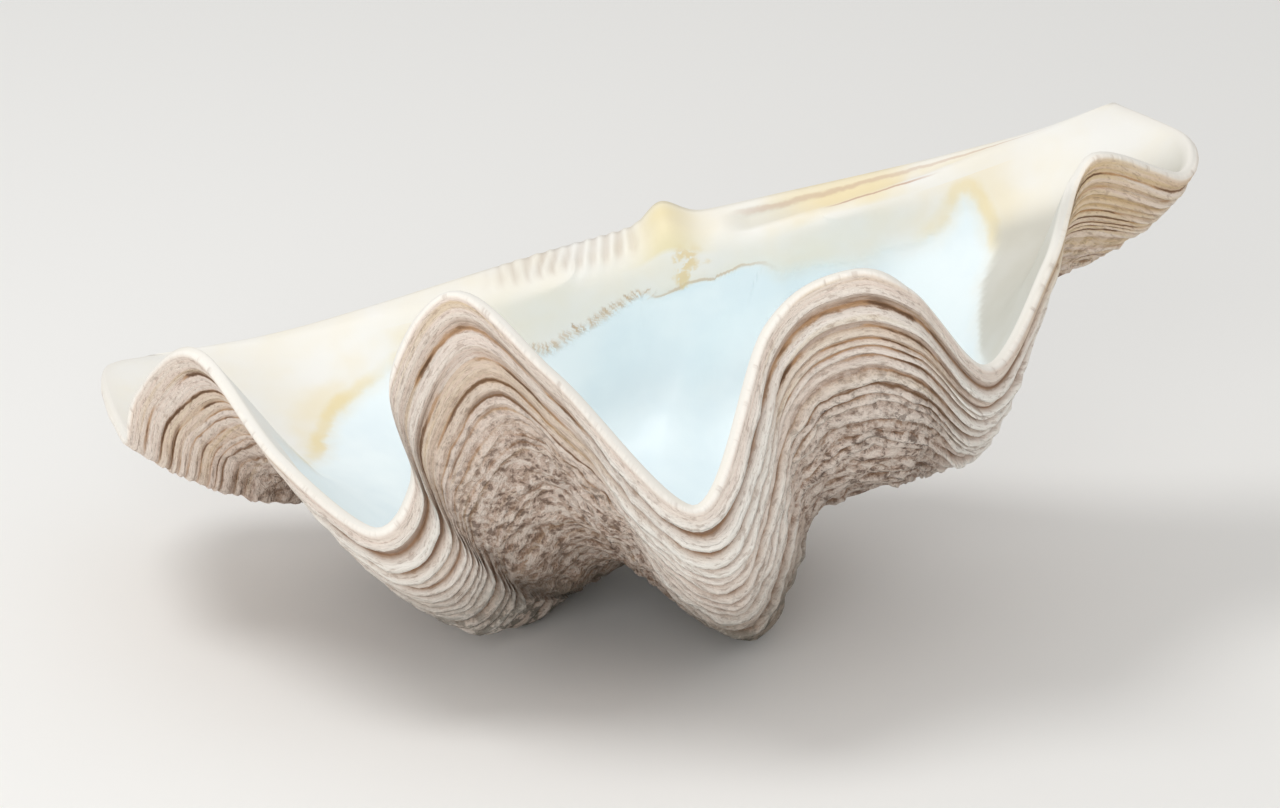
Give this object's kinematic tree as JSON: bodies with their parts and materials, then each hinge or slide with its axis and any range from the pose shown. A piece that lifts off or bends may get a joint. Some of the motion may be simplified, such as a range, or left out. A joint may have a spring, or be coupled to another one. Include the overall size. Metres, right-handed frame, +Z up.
{
  "type": "giant clam shell",
  "caption": "Single giant clam valve with deep radial folds and a wavy margin, lying hollow side up on the backs of its lowest folds.",
  "frame": {"origin": "bottom centre of the bounding box, on the surface the valve lies on", "axes": "+Z up out of the hollow, +X along the hinge line towards its high end, -Y towards the wavy margin"},
  "size_m": [0.7314, 0.4532, 0.329],
  "materials": {
    "shell": "layered matt outside, porcelain inside"
  },
  "bodies": {
    "root": {"clam_valve": "shell"}
  },
  "joints": []
}
